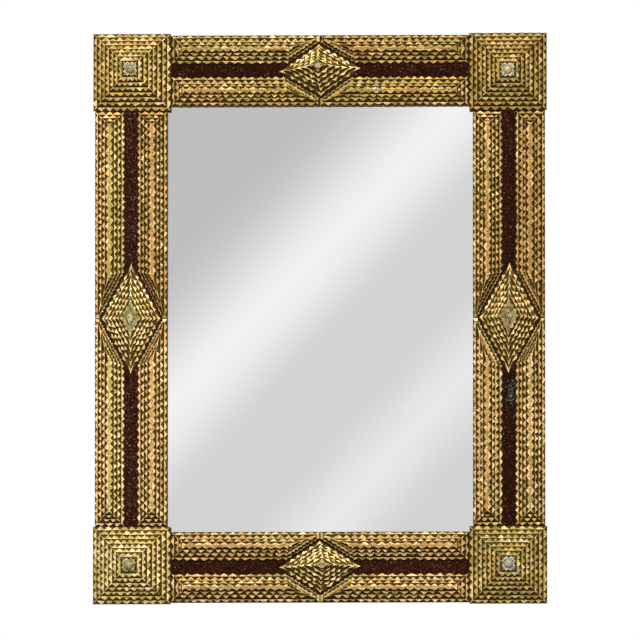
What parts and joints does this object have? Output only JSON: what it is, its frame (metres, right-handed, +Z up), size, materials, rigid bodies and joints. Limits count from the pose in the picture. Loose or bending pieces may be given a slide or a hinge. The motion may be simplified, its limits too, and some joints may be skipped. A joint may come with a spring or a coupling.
{
  "type": "wall mirror",
  "caption": "Rectangular wall mirror in a stepped, notch-carved wooden frame with square corner blocks, lozenges at mid-sides and velvet channels, hung on two rings at the back.",
  "frame": {"origin": "centre of the flat back, in the plane that lies against the wall", "axes": "+X to the right seen from the front, +Z up, front faces -Y"},
  "size_m": [0.508, 0.0518, 0.64],
  "materials": {
    "old_wood": "unpainted aged softwood",
    "back_board_wood": "thin raw aged board",
    "nail_iron": "dull iron",
    "mirror_glass": "silvered polished",
    "channel_velvet": "worn maroon velvet",
    "run_gilding": "worn gold paint",
    "block_gilding": "worn olive gold paint",
    "cap_gilding": "dull greenish gold",
    "star_paint": "silver and cream paint",
    "tack_gilding": "gold-painted tack",
    "hanger_brass": "tarnished",
    "screw_steel": "dull"
  },
  "bodies": {
    "frame": {"top_rail": "old_wood", "bottom_rail": "old_wood", "left_stile": "old_wood", "right_stile": "old_wood", "lap_nails": "nail_iron", "mirror_glass": "mirror_glass", "back_board": "back_board_wood", "back_nails": "nail_iron", "top_channel_strip": "channel_velvet", "left_channel_strip": "channel_velvet", "bottom_channel_strip": "channel_velvet", "right_channel_strip": "channel_velvet", "top_outer_left_run": "run_gilding", "top_outer_right_run": "run_gilding", "top_inner_left_run": "run_gilding", "top_inner_right_run": "run_gilding", "left_outer_lower_run": "run_gilding", "left_outer_upper_run": "run_gilding", "left_inner_lower_run": "run_gilding", "left_inner_upper_run": "run_gilding", "bottom_outer_left_run": "run_gilding", "bottom_outer_right_run": "run_gilding", "bottom_inner_left_run": "run_gilding", "bottom_inner_right_run": "run_gilding", "right_outer_lower_run": "run_gilding", "right_outer_upper_run": "run_gilding", "right_inner_lower_run": "run_gilding", "right_inner_upper_run": "run_gilding", "top_left_corner_block": "block_gilding", "bottom_left_corner_block": "block_gilding", "bottom_right_corner_block": "block_gilding", "top_right_corner_block": "block_gilding", "top_left_star": "star_paint", "bottom_left_star": "star_paint", "bottom_right_star": "star_paint", "top_right_star": "star_paint", "top_left_tack": "tack_gilding", "bottom_left_tack": "tack_gilding", "bottom_right_tack": "tack_gilding", "top_right_tack": "tack_gilding", "top_lozenge": "block_gilding", "left_lozenge": "block_gilding", "bottom_lozenge": "block_gilding", "right_lozenge": "block_gilding", "top_lozenge_cap": "cap_gilding", "left_lozenge_cap": "cap_gilding", "bottom_lozenge_cap": "cap_gilding", "right_lozenge_cap": "cap_gilding", "left_strap_hanger": "hanger_brass", "right_strap_hanger": "hanger_brass", "hanger_screws": "screw_steel"},
    "left_ring": {"left_hang_ring": "hanger_brass"},
    "right_ring": {"right_hang_ring": "hanger_brass"}
  },
  "joints": [
    {"name": "left_ring_swing", "type": "hinge", "parent": "frame", "child": "left_ring", "pos_m": [-0.22095, -0.00295, 0.12], "axis": [-1, 0, 0], "range_deg": [0, 173]},
    {"name": "right_ring_swing", "type": "hinge", "parent": "frame", "child": "right_ring", "pos_m": [0.22095, -0.00295, 0.12], "axis": [-1, 0, 0], "range_deg": [0, 173]}
  ]
}
